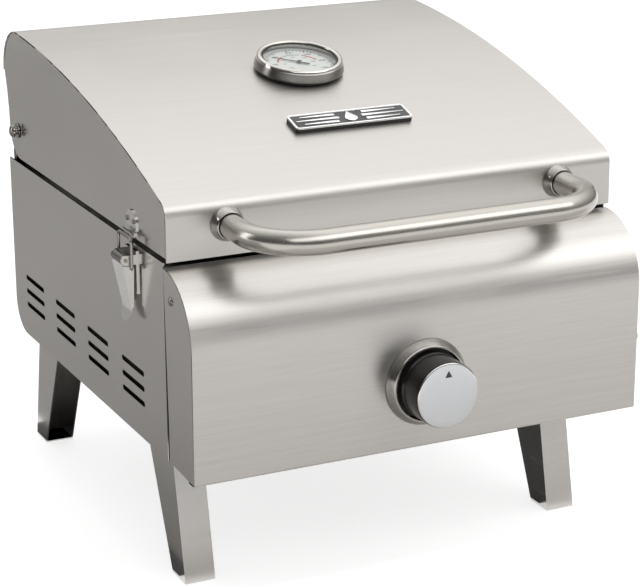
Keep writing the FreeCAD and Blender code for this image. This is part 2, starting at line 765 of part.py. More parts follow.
def make_latch_lever(side, sign):
    """A tapered channel rolled round the pin at its top, with a round-ended tongue turned out."""
    middle, out, up = at(c.latch_back), c.lever_out, c.lever_pivot
    neck = f"{2 * (c.ear_gap - 0.4)} mm"
    shoulder, flange_top, flange_low = 249.2, 248.9, 215
    top, bend = lever_corners()
    taper = (c.lever_half - c.tongue_half) / (shoulder - c.lever_bend)
    thick = -sign * c.sheet
    neck_strip = strip([(sign * top[0], top[1]), (sign * lever_face(246), 246)], thick)
    blade = strip([(sign * lever_face(shoulder), shoulder), (sign * bend[0], bend[1], 8),
                   (sign * 199.0, c.lever_tip)], thick)
    lever = new_body(f"latch_lever_{side}")
    for outline, width in ((neck_strip, neck), (blade, "2 * sizes.lever_half")):
        pad(lever, sketch(lever, "XZ_Plane", rounded(outline), f"-({middle})"), width, both_ways=True)

    # the two flanges lean towards each other, so their sketches do
    lean = math.atan(taper)
    flange = [
        (sign * (lever_face(flange_top) - 0.5), flange_top), (sign * 194.1, flange_top, 1.6),
        (sign * 194.1, 240, 4), (sign * 194.4, flange_low, 1),
        (sign * (lever_face(flange_low) - 0.5), flange_low),
    ]
    flange = [(corner[0], corner[1] / math.cos(lean)) + tuple(corner[2:]) for corner in flange]
    for ear_side in (-1, 1):
        foot = c.lever_half - taper * shoulder - c.flange / 2 + 0.05
        drawing = sketch(lever, "XZ_Plane", rounded(flange))
        drawing.AttachmentOffset = Placement(Vector(0, 0, -middle - ear_side * foot),
                                             Rotation(Vector(1, 0, 0), -ear_side * math.degrees(lean)))
        pad(lever, drawing, "sizes.flange", both_ways=True)
    barrel = [Part.Circle(Vector(sign * out, up, 0), Vector(0, 0, 1), c.barrel)]
    pad(lever, sketch(lever, "XZ_Plane", barrel, f"-({middle})"), neck, both_ways=True)
    eyes = [
        Part.Circle(Vector(sign * out, up, 0), Vector(0, 0, 1), c.pin + c.bore_gap),
        Part.Circle(Vector(sign * c.bail_out, c.bail_pivot, 0), Vector(0, 0, 1), c.wire + c.bore_gap),
    ]
    cut(lever, sketch(lever, "XZ_Plane", eyes, f"-({middle})"), "40 mm")

    # both edges are trimmed to the taper and round the tongue's end
    tip, above, beyond = c.lever_tip - 0.3, shoulder + 1, 16
    for ear_side in (-1, 1):
        edge = [
            (beyond, tip - 4), (beyond, above), (c.lever_half + taper, above),
            (c.tongue_half, c.lever_bend), (c.tongue_half, tip, 7), (0, tip), (0, tip - 4),
        ]
        edge = [(middle + ear_side * corner[0],) + tuple(corner[1:]) for corner in edge]
        cut(lever, sketch(lever, "YZ_Plane", rounded(edge), f"{sign * out} mm"), "20 mm")


def make_latch_bail(side, sign):
    """A wire loop whose ends turn in through the lever's flanges."""
    middle, h, low, high = at(c.latch_back), c.bail_half, c.bail_pivot, c.bail_top
    end = c.ear_gap - 0.1
    loop = [
        (middle - end, low), (middle - h, low, 1.4), (middle - h, high, 2.8),
        (middle + h, high, 2.8), (middle + h, low, 1.4), (middle + end, low),
    ]
    pipe(f"latch_bail_{side}", loop, "YZ_Plane", f"{sign} * sizes.bail_out",
         (sign * c.bail_out, low, c.wire), "XZ_Plane", f"-({middle - end})")


def make_latch_catch(side, sign):
    """A round-topped plate on the lid whose lower end is a hook; returns its two rivets."""
    middle, wall, half = at(c.latch_back), c.lid_side_half, c.catch_half
    low, high, floor = c.catch_bottom, c.catch_top, 269.9
    face, lip = sign * (wall + c.cover), sign * (wall + c.hook_reach)
    catch = new_body(f"latch_catch_{side}")
    bent = strip([(face, high), (face, floor, 1.0), (lip, floor, 1.0), (lip, 274.2)], -sign * c.cover)
    profile = sketch(catch, "XZ_Plane", rounded(bent), f"-({middle})")
    pad(catch, profile, "2 * sizes.catch_half", both_ways=True)

    # all that lies outside the plate's outline is trimmed away
    neck_half, beyond = 6.5, half + 8
    outline = [
        (middle - neck_half, floor - 4), (middle + neck_half, floor - 4), (middle + neck_half, low + 2),
        (middle + half, low + 3.5, 2), (middle + half, high, 9), (middle - half, high, 9),
        (middle - half, low + 3.5, 2), (middle - neck_half, low + 2),
    ]
    frame = [(middle - beyond, floor - 8), (middle + beyond, floor - 8),
             (middle + beyond, high + 8), (middle - beyond, high + 8)]
    cut(catch, sketch(catch, "YZ_Plane", rounded(frame) + rounded(outline), f"{lip} mm"), "20 mm")
    rivets = []
    for number, y in enumerate((middle - 6.8, middle + 6.8)):
        rivets.append(rod(f"catch_rivet_{side}_{number}", (face, y, 282), (sign, 0, 0), 1.0, 2.0))
    return rivets


def make_latches():
    pins = []
    rivets = []
    for side, sign in SIDES:
        pins.append(make_latch_base(side, sign))
        make_latch_lever(side, sign)
        make_latch_bail(side, sign)
        rivets += make_latch_catch(side, sign)
    group("latch_pins", pins)
    group("catch_rivets", rivets)


# ---------------------------------------------------------------- legs

def leg_pivot_back(edge, away):
    """Distance of a leg's pivot from the lid's front; edge is the outer edge of its foot."""
    inner_foot = edge + away * c.foot_length
    lean = math.atan(c.leg_inner_lean)
    return inner_foot + away * (c.leg_inner_lean * c.leg_pivot - 10 / math.cos(lean))


def make_legs():
    pins = []
    brackets = []
    for end, edge, away in (("front", c.foot_front, 1), ("rear", c.foot_rear, -1)):
        pivot_back = leg_pivot_back(edge, away)
        inner_foot = edge + away * c.foot_length
        lean = math.atan(c.leg_inner_lean)
        # the folded leg's inner edge must pass under the floor, so its top is round
        outline = [
            (edge, 0), (inner_foot, 0),
            (inner_foot + away * c.leg_inner_lean * (c.leg_pivot + 6), c.leg_pivot + 6, 8),
            (pivot_back + away * 2, c.leg_top, 4),
            (edge + away * c.leg_outer_lean * c.leg_top, c.leg_top, 3),
        ]
        outline = [(at(p[0]),) + tuple(p[1:]) for p in outline]
        hollow = [
            (edge + away * (c.leg_sheet - 0.2), 1.5), (inner_foot + away * 60, 1.5),
            (inner_foot + away * 80, c.leg_top + 20),
            (edge + away * (c.leg_sheet + 0.05 + c.leg_outer_lean * (c.leg_top + 20)), c.leg_top + 20),
        ]
        hollow = [(at(p[0]), p[1]) for p in hollow]
        for side, sign in SIDES:
            label = f"leg_{end}_{side}"
            outer_x = sign * c.leg_outer
            inner_x = sign * (c.leg_outer - c.leg_width)
            low_x, high_x = min(outer_x, inner_x), max(outer_x, inner_x)
            middle_x = (low_x + high_x) / 2
            body = new_body(label)
            profile = sketch(body, "YZ_Plane", rounded(outline), f"{middle_x} mm")
            pad(body, profile, "sizes.leg_width", both_ways=True)
            cut(body, sketch(body, "YZ_Plane", rounded(hollow), f"{middle_x} mm"),
                "sizes.leg_width - 2 * sizes.leg_sheet")
            eye = [Part.Circle(Vector(at(pivot_back), c.leg_pivot, 0), Vector(0, 0, 1), c.leg_pin + 0.06)]
            cut(body, sketch(body, "YZ_Plane", eye, f"{middle_x} mm"), "60 mm")

            # bracket under the floor: a strap with two ears inside the leg's channel
            y, up, floor = at(pivot_back), c.leg_pivot, c.body_bottom
            near, far = low_x + 2.0, high_x - 2.0
            solids = [box(f"strap_{label}", (near, y - 8, floor - 1.5), (far, y + 8, floor))]
            for number, ear_x in enumerate((near, far - 1.5)):
                solids.append(box(f"ear_{label}_{number}", (ear_x, y - 7, up), (ear_x + 1.5, y + 7, floor)))
                solids.append(rod(f"ear_end_{label}_{number}", (ear_x, y, up), (1, 0, 0), 1.5, 7.0))
            whole = doc.addObject("Part::MultiFuse", f"bracket_whole_{label}")
            whole.Shapes = solids
            bracket = doc.addObject("Part::Cut", f"bracket_{label}")
            bracket.Base = whole
            bracket.Tool = rod(f"bracket_bore_{label}", (low_x - 5, y, up), (1, 0, 0),
                               c.leg_width + 10, "sizes.leg_pin")
            brackets.append(bracket)
            pins.append(rod(f"pin_{label}", (low_x - 1.2, y, up), (1, 0, 0),
                            c.leg_width + 2.4, "sizes.leg_pin"))
    group("leg_brackets", brackets)
    group("leg_pins", pins)


make_lid()
make_handle()
make_badge()
make_thermometer()
make_body()
make_hinges()
make_firebox()
make_control_panel()
make_knob_and_valve()
make_gas_line()
make_burner()
make_grate()
make_grease_tray()
make_latches()
make_legs()
doc.recompute()

faults = [item.Name for item in doc.Objects if {"Invalid", "Error"} & set(item.State)]
faults += [label for label, piece in pieces.items() if piece.Shape.isNull() or not piece.Shape.isValid()]
if faults:
    raise RuntimeError("these did not build: " + ", ".join(faults))
for label, piece in pieces.items():
    piece.Shape.exportStep(f"parts/{label}.step")
print(len(pieces), "pieces written")
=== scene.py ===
import bmesh
import bpy
import math
from mathutils import Matrix, Vector


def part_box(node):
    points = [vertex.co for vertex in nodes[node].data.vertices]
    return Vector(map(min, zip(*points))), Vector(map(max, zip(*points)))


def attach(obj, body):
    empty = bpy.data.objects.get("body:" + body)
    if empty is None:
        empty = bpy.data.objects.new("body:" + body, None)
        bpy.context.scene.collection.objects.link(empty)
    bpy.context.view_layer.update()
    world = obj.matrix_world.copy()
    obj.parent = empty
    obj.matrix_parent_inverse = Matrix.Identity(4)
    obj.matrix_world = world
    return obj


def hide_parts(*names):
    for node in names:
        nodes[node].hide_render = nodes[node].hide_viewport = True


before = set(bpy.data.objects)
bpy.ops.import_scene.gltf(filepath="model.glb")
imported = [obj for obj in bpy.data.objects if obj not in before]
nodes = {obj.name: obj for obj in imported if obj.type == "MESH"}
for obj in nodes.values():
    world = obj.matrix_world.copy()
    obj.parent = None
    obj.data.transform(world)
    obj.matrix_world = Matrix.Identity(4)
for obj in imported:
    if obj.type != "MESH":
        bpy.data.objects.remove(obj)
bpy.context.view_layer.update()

MM = 0.001
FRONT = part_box("lid_cover")[0].y          # Y of the lid's front face
GRILL_MIDDLE = (0, 0, 0.25)
SKY_STRENGTH = 1.42
CARD_HEIGHT = 0.002
RELIEF = 0.0002                           # depth of every finish's relief, in metres
TURNED_EDGE = 40                          # degrees past which a turned piece's edge stays sharp
HANDLE_X = 0.142
HANDLE_Z = 0.290
KNOB_Z = 0.1595
KNOB_REACH = 0.057                        # how far the knob's foot lies before the lid's front
RING_REACH = 0.0473                       # the same for the ring round the knob


# ---------------------------------------------------------------- camera, floor and light

def make_camera():
    """Low three-quarter view from the front left."""
    turn = math.radians(-25.67)
    rise = math.radians(17.51)
    roll = math.radians(-0.19)
    spot = Vector((-0.7325, FRONT - 1.39311, 0.71246))
    camera = bpy.data.cameras.new("view")
    camera.sensor_width = 36.0
    camera.lens = 119.95
    camera.shift_x = -0.0067
    camera.shift_y = 0.0009
    camera.clip_end = 20
    holder = bpy.data.objects.new("view", camera)
    bpy.context.scene.collection.objects.link(holder)
    back = Vector((math.sin(turn) * math.cos(rise), -math.cos(turn) * math.cos(rise), math.sin(rise)))
    side = Vector((math.cos(turn), math.sin(turn), 0))
    up = back.cross(side)
    right = side * math.cos(roll) + up * math.sin(roll)
    above = -side * math.sin(roll) + up * math.cos(roll)
    place = Matrix((right, above, back)).transposed().to_4x4()
    place.translation = spot
    holder.matrix_world = place
    bpy.context.scene.camera = holder


def make_sky():
    """A soft white studio: dim round the horizon, bright overhead, brighter on one side."""
    world = bpy.data.worlds.new("studio")
    bpy.context.scene.world = world
    world.use_nodes = True
    tree = world.node_tree
    where = put(tree, "ShaderNodeTexCoord").outputs["Generated"]
    parts = put(tree, "ShaderNodeSeparateXYZ", None, {0: where})
    ramp = put(tree, "ShaderNodeValToRGB", None, {0: parts.outputs["Z"]})
    horizon, overhead = ramp.color_ramp.elements
    horizon.position = 0.0
    horizon.color = (0.12, 0.117, 0.114, 1)
    overhead.position = 0.75
    overhead.color = (1.0, 1.0, 1.0, 1)
    halfway = ramp.color_ramp.elements.new(0.38)
    halfway.color = (0.43, 0.427, 0.42, 1)
    bright_side = (0.80, 0.60, 0.0)
    towards = put(tree, "ShaderNodeVectorMath", {"operation": "DOT_PRODUCT"}, {0: where, 1: bright_side})
    tilt = spread(tree, towards.outputs["Value"], -0.6, 0.4, 0.22, 1.12)
    background = tree.nodes["Background"]
    tree.links.new(ramp.outputs[0], background.inputs["Color"])
    tree.links.new(math_node(tree, "MULTIPLY", tilt, SKY_STRENGTH), background.inputs["Strength"])


def area_light(name, place, size, power):
    """A soft rectangular light aimed at the grill."""
    light = bpy.data.lights.new(name, "AREA")
    light.shape = "RECTANGLE"
    light.size, light.size_y = size
    light.energy = power
    lamp = bpy.data.objects.new(name, light)
    bpy.context.scene.collection.objects.link(lamp)
    lamp.location = place
    lamp.rotation_euler = (Vector(place) - Vector(GRILL_MIDDLE)).to_track_quat("Z", "Y").to_euler()
    lamp.visible_camera = False


def add_sheet(name, across, along, height, finish):
    """A flat level sheet of the studio, between two X and two Y."""
    (x1, x2), (y1, y2) = across, along
    bm = bmesh.new()
    bmesh.ops.create_grid(bm, x_segments=1, y_segments=1, size=0.5,
                          matrix=Matrix.Translation(((x1 + x2) / 2, (y1 + y2) / 2, height))
                          @ Matrix.Diagonal((x2 - x1, y2 - y1, 1, 1)))
    sheet = add_object(name, bm)
    sheet.data.materials.append(finish)
    return sheet


def make_floor():
    """A plain pale floor that glows a little."""
    paint = speckled("floor_paint", (0.40, 0.40, 0.40), (0.42, 0.42, 0.42), 0.6, size=0.3, bump=0)
    shader = paint.node_tree.nodes["Principled BSDF"]
    shader.inputs["Emission Color"].default_value = (1, 1, 1, 1)
    shader.inputs["Emission Strength"].default_value = 0.76
    add_sheet("floor", (-8, 8), (-8, 8), 0, paint)


def make_card(name, across, along, tone):
    """A low dark card that only reflections see: a painted reflection of darker floor, and painted shade
    beneath the grill.
    """
    dark = (tone, tone * 0.985, tone * 0.97)
    light = (tone * 1.06, tone * 1.04, tone * 1.02)
    card = add_sheet(name, across, along, CARD_HEIGHT, speckled(name, dark, light, 0.9, size=0.3, bump=0))
    card.visible_camera = False
    card.visible_diffuse = False
    card.visible_shadow = False


# ---------------------------------------------------------------- materials

def new_material(name):
    made = bpy.data.materials.new(name)
    made.use_nodes = True
    return made, made.node_tree, made.node_tree.nodes["Principled BSDF"]


def put(tree, kind, settings=None, inputs=None):
    """Adds a node; a value that is a socket is linked, any other is set."""
    made = tree.nodes.new(kind)
    for key, value in (settings or {}).items():
        setattr(made, key, value)
    for key, value in (inputs or {}).items():
        if isinstance(value, bpy.types.NodeSocket):
            tree.links.new(value, made.inputs[key])
        else:
            made.inputs[key].default_value = value
    return made


def math_node(tree, operation, a, b=0.0):
    return put(tree, "ShaderNodeMath", {"operation": operation}, {0: a, 1: b}).outputs[0]


def noise(tree, where, scale, detail, rough):
    made = put(tree, "ShaderNodeTexNoise", None,
               {"Vector": where, "Scale": scale, "Detail": detail, "Roughness": rough})
    return made.outputs[0]


def spread(tree, value, low, high, out_low, out_high):
    made = put(tree, "ShaderNodeMapRange", None,
               {0: value, 1: low, 2: high, 3: out_low, 4: out_high})
    return made.outputs[0]


def mixed(tree, share, a, b):
    made = put(tree, "ShaderNodeMix", {"data_type": "RGBA", "clamp_factor": True},
               {0: share, 6: a, 7: b})
    return made.outputs[2]


def stretched(tree, scale):
    """Object coordinates with each axis scaled."""
    where = put(tree, "ShaderNodeTexCoord").outputs["Object"]
    return put(tree, "ShaderNodeMapping", None, {"Vector": where, "Scale": scale}).outputs[0]


def cross(tree, a, b):
    return put(tree, "ShaderNodeVectorMath", {"operation": "CROSS_PRODUCT"}, {0: a, 1: b}).outputs[0]


def blended(tree, a, b, share):
    """A mix of two patterns; share is the part of the first."""
    return math_node(tree, "ADD", math_node(tree, "MULTIPLY", a, share),
                     math_node(tree, "MULTIPLY", b, 1 - share))


def tint(tree, shader, color, tone):
    """Paints with a colour that a pattern makes lighter and darker."""
    paint = put(tree, "ShaderNodeVectorMath", {"operation": "SCALE"}, {0: color, "Scale": tone})
    tree.links.new(paint.outputs[0], shader.inputs["Base Color"])


def emboss(tree, shader, height, strength):
    relief = put(tree, "ShaderNodeBump", None, {"Strength": strength, "Distance": RELIEF, "Height": height})
    tree.links.new(relief.outputs[0], shader.inputs["Normal"])


# which axes the scratches run along
GRAIN = {"x": (1, 0, 0), "y": (0, 1, 0), "z": (0, 0, 1), "level": (1, 1, 0)}


def across_grain(tree, grain):
    """Direction across a straight grain, in the surface."""
    facing = put(tree, "ShaderNodeNewGeometry").outputs["Normal"]
    if grain == "level":
        return cross(tree, facing, cross(tree, (0, 0, 1), facing))
    return cross(tree, facing, GRAIN[grain])


def brushed(name, color, rough, grain, line=0.0008, run=0.05, contrast=0.10, bump=0.05, pull=0.6,
            metallic=1.0):
    """Steel brushed along one axis, or level all round; line is a scratch's width, run its length."""
    made, tree, shader = new_material(name)
    scale = tuple(1 / run if part else 1 / line for part in GRAIN[grain])
    fine = noise(tree, stretched(tree, scale), 1.0, 3.0, 0.6)
    coarse = noise(tree, stretched(tree, tuple(s / 4.5 for s in scale)), 1.0, 2.0, 0.5)
    scratches = blended(tree, fine, coarse, 0.65)
    cloud = noise(tree, stretched(tree, (7, 7, 7)), 1.0, 3.0, 0.55)
    tone = spread(tree, scratches, 0.3, 0.7, 1 - contrast, 1 + contrast)
    cloud_tone = spread(tree, cloud, 0.3, 0.7, 0.985, 1.015)
    tint(tree, shader, color, math_node(tree, "MULTIPLY", tone, cloud_tone))
    shine = spread(tree, scratches, 0.3, 0.7, rough - 0.05, rough + 0.05)
    smear = spread(tree, cloud, 0.35, 0.7, -0.02, 0.03)
    tree.links.new(math_node(tree, "ADD", shine, smear), shader.inputs["Roughness"])
    emboss(tree, shader, scratches, bump)
    shader.inputs["Metallic"].default_value = metallic
    shader.inputs["Anisotropic"].default_value = pull
    tree.links.new(across_grain(tree, grain), shader.inputs["Tangent"])
    return made


def latch_finish(name):
    """Satin latch steel with painted shade: the roll round the pin is painted dark and fully metallic, so it
    is dark with bright highlights, and the tongue is painted dull and dark.
    """
    pin_out, pin_up, roll_radius = 0.2005, 0.2535, 0.0040
    tongue_top = 0.2130
    made = brushed(name, (0.74, 0.725, 0.70), 0.24, "z", line=0.0005, run=0.03, pull=0.3, contrast=0.05,
                   metallic=0.55)
    tree = made.node_tree
    shader = tree.nodes["Principled BSDF"]
    where = put(tree, "ShaderNodeTexCoord").outputs["Object"]
    parts = put(tree, "ShaderNodeSeparateXYZ", None, {0: where})
    out = math_node(tree, "SUBTRACT", math_node(tree, "ABSOLUTE", parts.outputs[0]), pin_out)
    up = math_node(tree, "SUBTRACT", parts.outputs[2], pin_up)
    flat = put(tree, "ShaderNodeCombineXYZ", None, {0: out, 1: up}).outputs[0]
    away = put(tree, "ShaderNodeVectorMath", {"operation": "LENGTH"}, {0: flat}).outputs["Value"]
    roll = spread(tree, away, roll_radius - 0.0002, roll_radius + 0.0002, 1.0, 0.0)
    tongue = spread(tree, parts.outputs[2], tongue_top - 0.0015, tongue_top + 0.0015, 0.5, 0.0)
    share = math_node(tree, "MAXIMUM", roll, tongue)
    # Painted shade: the roll and the tongue get the dark colour below for the shade and dark reflection they
    # show.
    paint = shader.inputs["Base Color"].links[0].from_socket
    tree.links.new(mixed(tree, share, paint, (0.20, 0.19, 0.18, 1)), shader.inputs["Base Color"])
    tree.links.new(spread(tree, roll, 0.0, 1.0, 0.55, 1.0), shader.inputs["Metallic"])
    return made


def turned_finish(name, color, rough, place, line=0.0005, contrast=0.12, bump=0.04, pull=0.5):
    """Lathe-turned metal: fine rings round the Z of a placement."""
    made, tree, shader = new_material(name)
    where = put(tree, "ShaderNodeTexCoord").outputs["Object"]
    back = place.inverted()
    local = put(tree, "ShaderNodeMapping", {"vector_type": "POINT"},
                {"Vector": where, "Rotation": tuple(back.to_euler()),
                 "Location": tuple(back.translation)}).outputs[0]
    parts = put(tree, "ShaderNodeSeparateXYZ", None, {0: local})
    flat = put(tree, "ShaderNodeCombineXYZ", None, {0: parts.outputs[0], 1: parts.outputs[1]}).outputs[0]
    radius = put(tree, "ShaderNodeVectorMath", {"operation": "LENGTH"}, {0: flat}).outputs["Value"]
    rings = put(tree, "ShaderNodeCombineXYZ", None, {0: radius, 1: parts.outputs[2]}).outputs[0]
    fine = noise(tree, rings, 1 / line, 3.0, 0.6)
    pattern = blended(tree, fine, noise(tree, local, 90.0, 2.0, 0.5), 0.7)
    tint(tree, shader, color, spread(tree, pattern, 0.3, 0.7, 1 - contrast, 1 + contrast))
    tree.links.new(spread(tree, pattern, 0.3, 0.7, rough - 0.04, rough + 0.05), shader.inputs["Roughness"])
    emboss(tree, shader, fine, bump)
    shader.inputs["Metallic"].default_value = 1.0
    shader.inputs["Anisotropic"].default_value = pull
    axis = place.to_3x3() @ Vector((0, 0, 1))
    spoke = put(tree, "ShaderNodeVectorMath", {"operation": "SUBTRACT"},
                {0: where, 1: tuple(place.translation)}).outputs[0]
    facing = put(tree, "ShaderNodeNewGeometry").outputs["Normal"]
    tree.links.new(cross(tree, facing, cross(tree, tuple(axis), spoke)), shader.inputs["Tangent"])
    return made


def speckled(name, dark, light, rough, size=0.004, metallic=0.0, bump=0.1):
    """Paint, enamel, casting or plastic with a mottled colour and a fine relief."""
    made, tree, shader = new_material(name)
    cloud = noise(tree, stretched(tree, (1 / size,) * 3), 1.0, 4.0, 0.6)
    grit = noise(tree, stretched(tree, (6 / size,) * 3), 1.0, 2.0, 0.6)
    share = spread(tree, cloud, 0.3, 0.7, 0.0, 1.0)
    tree.links.new(mixed(tree, share, (*dark, 1), (*light, 1)), shader.inputs["Base Color"])
    tree.links.new(spread(tree, cloud, 0.3, 0.7, rough + 0.06, rough - 0.06), shader.inputs["Roughness"])
    emboss(tree, shader, grit, bump)
    shader.inputs["Metallic"].default_value = metallic
    return made


def window_glass(name):
    """Clear flat glass that lets light straight through."""
    made, tree, shader = new_material(name)
    tree.nodes.remove(shader)
    inside = put(tree, "ShaderNodeNewGeometry").outputs["Backfacing"]
    clear = put(tree, "ShaderNodeBsdfTransparent", None, {"Color": (0.97, 0.98, 0.97, 1)})
    gloss = put(tree, "ShaderNodeBsdfGlossy", None, {"Roughness": 0.02, "Color": (1, 1, 1, 1)})
    edge = put(tree, "ShaderNodeFresnel", None, {"IOR": 1.45})
    share = math_node(tree, "MULTIPLY", edge.outputs[0], math_node(tree, "SUBTRACT", 1.0, inside))
    blend = put(tree, "ShaderNodeMixShader", None, {0: share, 1: clear.outputs[0], 2: gloss.outputs[0]})
    tree.links.new(blend.outputs[0], tree.nodes["Material Output"].inputs["Surface"])
    return made


# ---------------------------------------------------------------- modelling

def add_object(name, bm):
    """Makes the finished mesh an object in the scene."""
    mesh = bpy.data.meshes.new(name)
    bm.to_mesh(mesh)
    bm.free()
    made = bpy.data.objects.new(name, mesh)
    bpy.context.scene.collection.objects.link(made)
    return made


def add_piece(name, bm, body, finishes, stands_for=(), place=None, sharp=32):
    """Makes the finished mesh a piece in place that rides on a body; sharp is an angle in degrees."""
    if place is not None:
        bmesh.ops.transform(bm, matrix=place, verts=bm.verts)
    for face in bm.faces:
        face.smooth = True
    piece = add_object(name, bm)
    piece.data.set_sharp_from_angle(angle=math.radians(sharp))
    for finish in finishes:
        piece.data.materials.append(finish)
    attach(piece, body)
    if stands_for:
        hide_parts(*stands_for)


def join_part(bm, part, place):
    """Puts a finished part into the mesh, in its place."""
    bmesh.ops.transform(part, matrix=place, verts=part.verts)
    shape = bpy.data.meshes.new("part")
    part.to_mesh(shape)
    part.free()
    bm.from_mesh(shape)
    bpy.data.meshes.remove(shape)


def soften(bm, width):
    """Rounds every edge that turns by more than half a radian."""
    edges = [e for e in bm.edges if len(e.link_faces) == 2 and e.calc_face_angle(0.0) > 0.5]
    bmesh.ops.bevel(bm, geom=edges, offset=width * MM, offset_type="OFFSET", segments=2, profile=0.5,
                    affect="EDGES", material=-1, clamp_overlap=True)


def turn_profile(bm, corners, steps=96):
    """Turns a closed outline of (radius, height) in millimetres round Z."""
    verts = [bm.verts.new((r * MM, 0, z * MM)) for r, z in corners]
    edges = [bm.edges.new((a, b)) for a, b in zip(verts, verts[1:] + verts[:1])]
    bmesh.ops.spin(bm, geom=verts + edges, cent=(0, 0, 0), axis=(0, 0, 1), angle=math.tau, steps=steps,
                   use_merge=True)
    bmesh.ops.remove_doubles(bm, verts=bm.verts, dist=1e-6)
    bmesh.ops.dissolve_degenerate(bm, dist=1e-7, edges=bm.edges)
    bmesh.ops.recalc_face_normals(bm, faces=bm.faces)


def give_second_finish(bm, wanted):
    """Gives the second material to the faces whose (radius, height) in millimetres is wanted; in the
    thermometer ring, the knob ring and the handle cups it is painted shade.
    """
    for face in bm.faces:
        spot = face.calc_center_median()
        if wanted(math.hypot(spot.x, spot.y) / MM, spot.z / MM):
            face.material_index = 1


def raise_faces(bm, faces, height):
    """Makes flat faces a solid of a height in millimetres, with the faces as its foot."""
    raised = bmesh.ops.extrude_face_region(bm, geom=faces, use_keep_orig=True)
    tops = [v for v in raised["geom"] if isinstance(v, bmesh.types.BMVert)]
    bmesh.ops.translate(bm, verts=tops, vec=(0, 0, height * MM))
    bmesh.ops.recalc_face_normals(bm, faces=bm.faces)


def add_block(bm, size, place):
    """A box of a size in millimetres, centred on a place."""
    made = bmesh.ops.create_cube(bm, size=1.0, matrix=place @ Matrix.Diagonal([s * MM for s in size] + [1]))
    return made["verts"]


def add_plate(bm, width, depth, corner, low, high):
    """A plate with round corners, its middle on Z; sizes in millimetres."""
    made = bmesh.ops.create_grid(bm, x_segments=1, y_segments=1, size=0.5 * MM,
                                 matrix=Matrix.Translation((0, 0, low * MM))
                                 @ Matrix.Diagonal((width, depth, 1, 1)))
    bmesh.ops.bevel(bm, geom=made["verts"], offset=corner * MM, offset_type="OFFSET", segments=6,
                    profile=0.5, affect="VERTICES", material=-1)
    foot = max(bm.faces, key=lambda f: (f.calc_center_median().z <= low * MM + 1e-6, f.calc_area()))
    raise_faces(bm, [foot], high - low)


def top_face(bm):
    """The highest face, and of level ones the largest."""
    return max(bm.faces, key=lambda f: (round(f.calc_center_median().z, 6), f.calc_area()))


def lying_on_lid(node, tilt, depth):
    """Placement at the foot of a node that lies on the lid, own Z square to the sheet."""
    low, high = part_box(node)
    turn = Matrix.Rotation(math.radians(tilt), 4, "X")
    up = turn @ Vector((0, 0, 1))
    return Matrix.Translation((low + high) / 2 - up * depth * MM / 2) @ turn


def facing_front(x, y, z):
    """Placement with its own Z towards the front."""
    return Matrix.Translation((x, y, z)) @ Matrix.Rotation(math.radians(90), 4, "X")


make_camera()
make_sky()
bpy.context.scene.view_settings.view_transform = "Standard"
area_light("left_strip", (-1.85, 0.75, 0.85), (0.5, 1.3), 5)
area_light("front_strip", (0.3, -1.9, 2.1), (4.4, 1.3), 30)
make_floor()
# Painted reflection: these cards darken what the metal reflects beside and before the grill; the one beneath
# it is painted shade under the body.
make_card("card_beside", (-2.0, -0.19), (-0.25, 2.8), 0.37)
make_card("painted_shade_beneath", (-0.19, 0.19), (-0.12, 0.25), 0.10)
make_card("card_before", (-0.35, 0.9), (-0.66, -0.16), 0.72)


# ---------------------------------------------------------------- finishes, painted shade among them

DIAL = lying_on_lid("thermometer_case", 11.4, 5.0)
BADGE = lying_on_lid("badge_backing", 16.4, 3.2)
KNOB = facing_front(0, FRONT - KNOB_REACH, KNOB_Z)
KNOB_RING = facing_front(0, FRONT - RING_REACH, KNOB_Z)

lid_steel = brushed("lid_brushed", (0.575, 0.556, 0.53), 0.38, "x", pull=0.5, contrast=0.05, bump=0.03)
panel_steel = brushed("panel_brushed", (0.57, 0.55, 0.527), 0.33, "x", pull=0.7, contrast=0.08,
                      bump=0.04)
side_steel = brushed("side_brushed", (0.62, 0.60, 0.575), 0.19, "level", line=0.0005, run=0.06, pull=0.4,
                     contrast=0.03, bump=0.012)
leg_steel = brushed("leg_brushed", (0.66, 0.64, 0.615), 0.22, "level", line=0.0005, run=0.05, pull=0.5,
                    contrast=0.06, bump=0.03)
inner_steel = brushed("mill_sheet", (0.45, 0.44, 0.42), 0.42, "x", pull=0.2, contrast=0.08)
bar_steel = brushed("handle_satin", (0.47, 0.45, 0.415), 0.23, "x", line=0.0005, pull=0.4, contrast=0.06)
latch_steel = brushed("latch_satin", (0.64, 0.625, 0.60), 0.22, "z", line=0.0005, run=0.03, pull=0.3,
                      contrast=0.06, metallic=0.8)
lever_steel = latch_finish("latch_lever")
wire_steel = brushed("latch_wire", (0.30, 0.285, 0.27), 0.16, "z", line=0.0006, run=0.01, pull=0.0,
                     contrast=0.06)
screw_steel = speckled("screw_steel", (0.24, 0.23, 0.22), (0.32, 0.31, 0.29), 0.20, size=0.002,
                       metallic=1.0)
# Painted dark reflection: the domed hinge bolts' chrome gets a dark colour for the dark they reflect.
bolt_steel = speckled("bolt_chrome", (0.28, 0.27, 0.25), (0.34, 0.325, 0.30), 0.12, size=0.002,
                      metallic=1.0)
ring_steel = turned_finish("thermometer_turned", (0.66, 0.635, 0.60), 0.14, DIAL)
